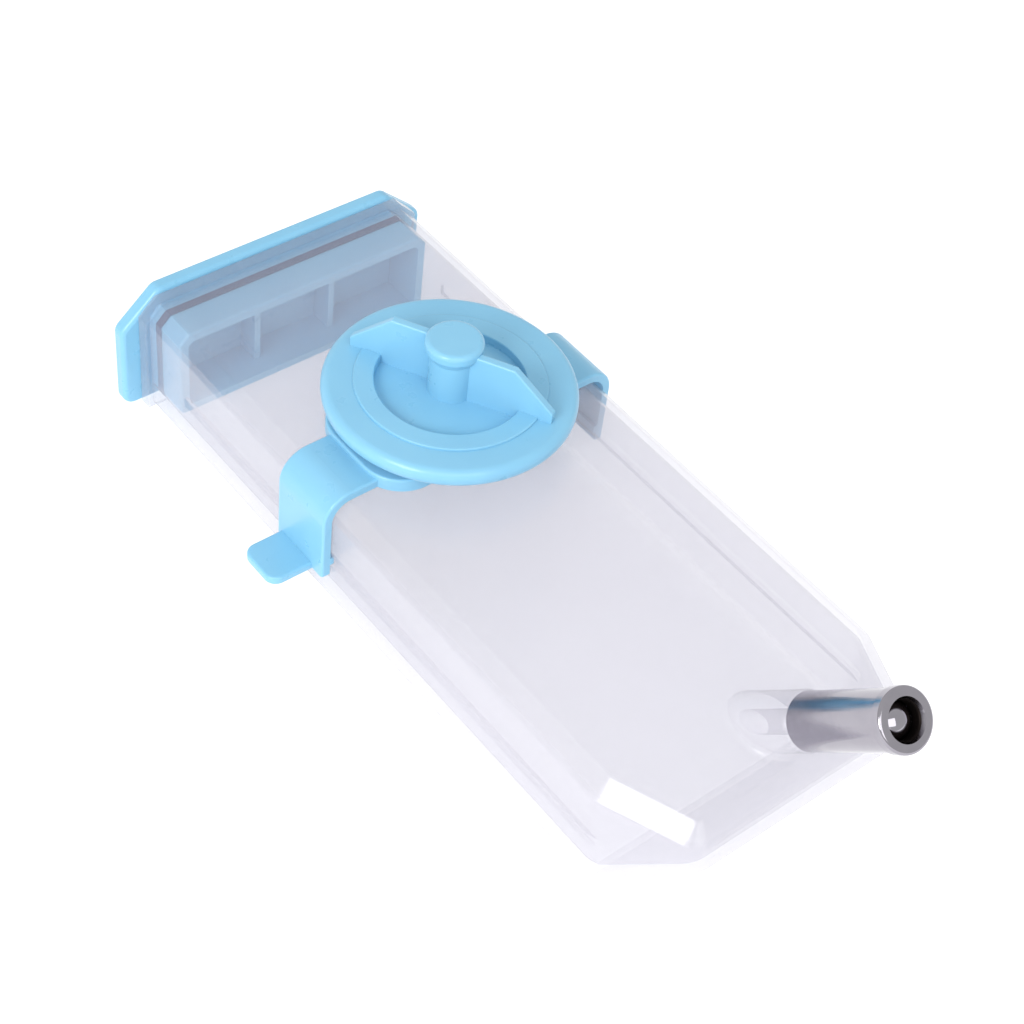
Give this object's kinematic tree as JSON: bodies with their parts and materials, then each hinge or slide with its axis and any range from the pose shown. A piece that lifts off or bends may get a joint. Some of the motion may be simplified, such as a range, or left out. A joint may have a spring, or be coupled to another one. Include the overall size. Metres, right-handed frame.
{
  "type": "hanging small animal water bottle",
  "caption": "Flat rectangular water bottle with a plug lid, a clip with a cage clamp knob, and a slanted steel ball valve spout.",
  "frame": {"origin": "point of the bottle's back face where the axis of the cage clamp meets it", "axes": "+X across the bottle's width, +Y along the bottle to the lid (up when it hangs), +Z out of its front face along the clamp axis"},
  "size_m": [0.0944, 0.2117, 0.0681],
  "materials": {
    "bottle_plastic": "translucent moulded polypropylene",
    "blue_plastic": "satin-gloss moulded plastic",
    "spout_steel": "polished stainless steel",
    "ball_steel": "polished stainless steel",
    "spring_steel": "drawn stainless wire",
    "stud_steel": "zinc-plated steel",
    "insert_brass": "turned brass",
    "gasket_rubber": "moulded silicone",
    "ring_rubber": "moulded nitrile",
    "washer_plastic": "moulded acetal"
  },
  "bodies": {
    "bottle": {"bottle_body": "bottle_plastic", "spout_tube": "spout_steel", "spout_ring": "ring_rubber", "valve_spring": "spring_steel"},
    "lid": {"lid": "blue_plastic", "lid_gasket": "gasket_rubber"},
    "clip": {"clip_bracket": "blue_plastic", "clamp_stud": "stud_steel"},
    "washer": {"slip_washer": "washer_plastic"},
    "knob": {"clamp_knob": "blue_plastic", "knob_insert": "insert_brass"},
    "ball": {"valve_ball": "ball_steel"}
  },
  "joints": [
    {"name": "lid_pull", "type": "slide", "parent": "bottle", "child": "lid", "axis": [0, 1, 0], "range_m": [0, 0.02]},
    {"name": "clip_slide", "type": "slide", "parent": "bottle", "child": "clip", "axis": [0, 1, 0], "range_m": [-0.066, 0.042]},
    {"name": "knob_travel", "type": "slide", "parent": "clip", "child": "washer", "axis": [0, 0, 1], "range_m": [0, 0.008]},
    {"name": "knob_turn", "type": "hinge", "parent": "washer", "child": "knob", "pos_m": [0, 0, 0.04], "axis": [0, 0, 1], "range_deg": [0, 2880]},
    {"name": "ball_press", "type": "slide", "parent": "bottle", "child": "ball", "axis": [0, 0.673, -0.7396], "range_m": [0, 0.0025], "stiffness_N_per_m": 60, "springref_m": -0.004, "deforming": ["valve_spring"]}
  ],
  "couplings": [
    {"joint": "knob_travel", "follows": "knob_turn", "m_per_rad": 0.00015915}
  ]
}
